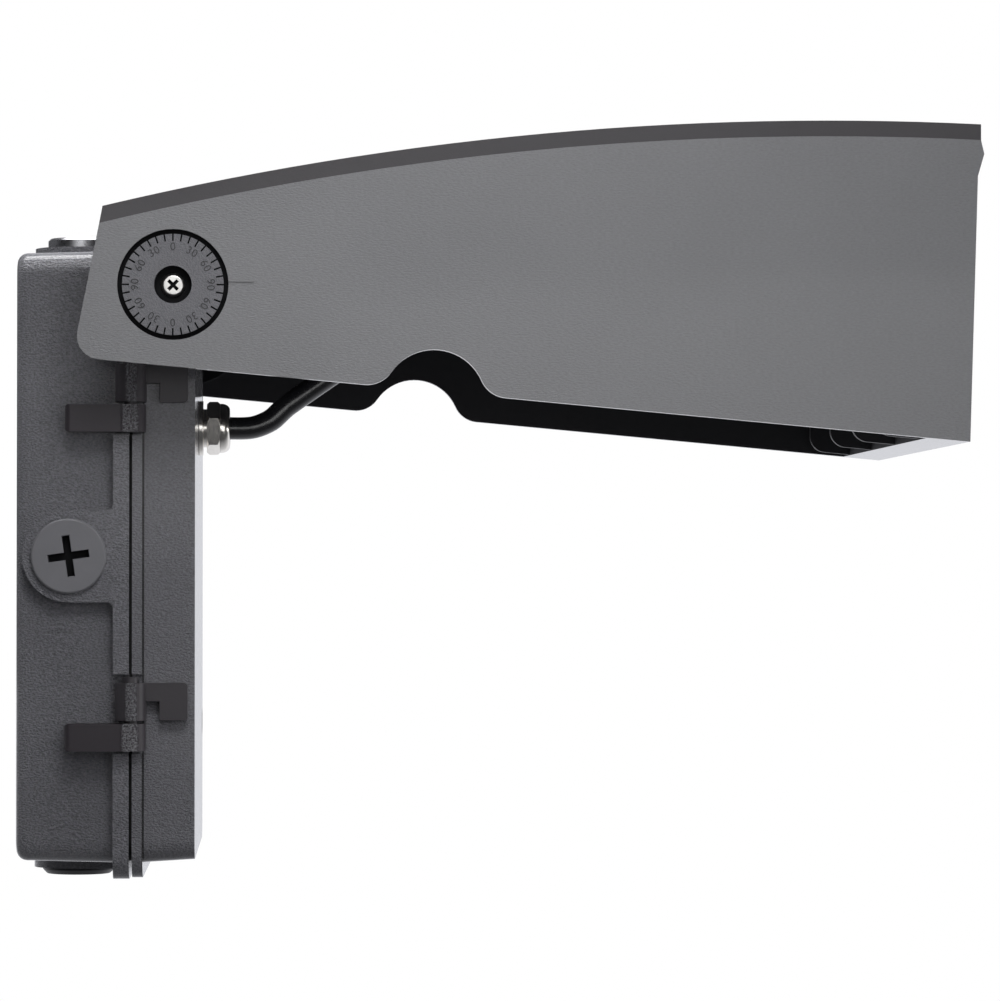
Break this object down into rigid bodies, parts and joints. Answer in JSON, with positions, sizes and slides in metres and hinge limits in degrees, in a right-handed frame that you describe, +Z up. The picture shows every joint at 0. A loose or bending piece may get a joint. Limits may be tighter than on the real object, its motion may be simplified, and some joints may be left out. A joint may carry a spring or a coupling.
{
  "type": "wall pack light",
  "caption": "Outdoor wall pack light: a wall-mounted junction box with a hinged door, and a long arched lamp head that tilts on trunnions beside graduated dials.",
  "frame": {"origin": "centre of the four wall screws on the back face of the junction box, on the wall plane", "axes": "+X points out of the wall, +Z points up, and the hinges are on the -Y side"},
  "size_m": [0.3333, 0.232, 0.2643],
  "materials": {
    "casting": "dark grey textured powder coat on a die casting",
    "cover": "darker satin powder coat",
    "plug_paint": "smooth grey paint",
    "hinge": "smooth dark moulding",
    "black_plastic": "black moulded plastic",
    "zinc": "zinc plated",
    "nickel": "bright nickel plate",
    "rubber": "black rubber",
    "cord": "glossy black cord jacket",
    "driver_case": "plain sheet case",
    "terminal": "pale moulded plastic",
    "ground_green": "green steel screw",
    "board": "white solder mask",
    "optics": "clear moulded optics",
    "lens": "clear tempered glass"
  },
  "bodies": {
    "housing": {"rear_housing": "casting", "mouth_gasket": "rubber", "hinge_lugs": "hinge", "hinge_pins": "zinc", "side_plugs": "plug_paint", "top_plug": "zinc", "bottom_plug": "black_plastic", "terminal_block": "terminal", "ground_screw": "ground_green"},
    "door": {"door": "casting", "hinge_leaves": "hinge", "door_screws": "zinc", "gland_body": "nickel", "gland_locknut": "nickel", "gland_seal": "rubber", "gland_nut": "nickel", "power_cord": "cord", "led_driver": "driver_case", "driver_screws": "zinc", "near_dial": "casting", "far_dial": "casting", "dial_screws": "zinc", "pivot_washers": "zinc"},
    "head": {"near_cheek": "casting", "far_cheek": "casting", "top_cover": "cover", "cover_screws": "zinc", "cord_clip": "black_plastic", "heat_sink": "cover", "sink_screws": "zinc", "cord_grommet": "rubber", "led_board": "board", "optic_plate": "optics", "lens_gasket": "rubber", "lens": "lens", "front_frame": "casting", "frame_screws": "zinc"}
  },
  "joints": [
    {"name": "door_swing", "type": "hinge", "parent": "housing", "child": "door", "pos_m": [0.04, -0.082, 0], "axis": [0, 0, -1], "range_deg": [0, 50]},
    {"name": "head_tilt", "type": "hinge", "parent": "door", "child": "head", "pos_m": [0.0554, 0, 0.0922], "axis": [0, 1, 0], "range_deg": [0, 90], "deforming": ["power_cord"]}
  ]
}
